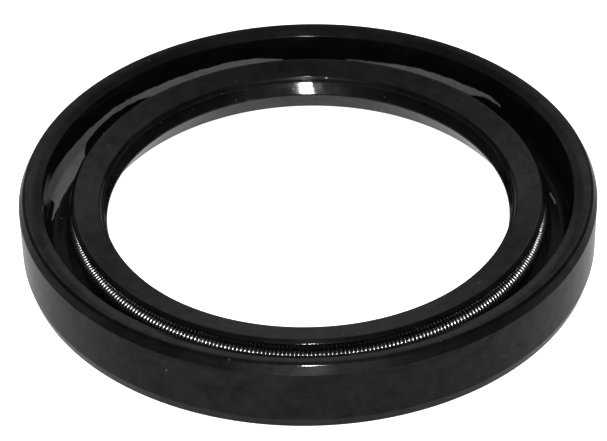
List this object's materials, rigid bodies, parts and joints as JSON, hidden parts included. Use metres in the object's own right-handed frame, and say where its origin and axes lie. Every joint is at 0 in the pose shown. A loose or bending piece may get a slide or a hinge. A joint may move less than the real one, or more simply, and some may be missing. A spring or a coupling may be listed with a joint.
{
  "type": "radial shaft seal",
  "caption": "Round rubber-covered radial shaft seal with one sealing lip, a garter spring in its groove and an L-shaped steel case inside, for pressing into a bore around a turning shaft.",
  "frame": {"origin": "on the axis, in the plane of the back (air-side) face", "axes": "+Z along the axis towards the spring (oil) side; X and Y are any two directions across it"},
  "size_m": [0.0622, 0.0622, 0.008],
  "materials": {
    "nitrile_rubber": "moulded, satin to semi-gloss",
    "case_steel": "pressed sheet, phosphated and bonded under the rubber",
    "spring_steel": "drawn wire, bright"
  },
  "bodies": {
    "root": {"seal_body": "nitrile_rubber", "steel_case": "case_steel", "garter_spring": "spring_steel"}
  },
  "joints": []
}
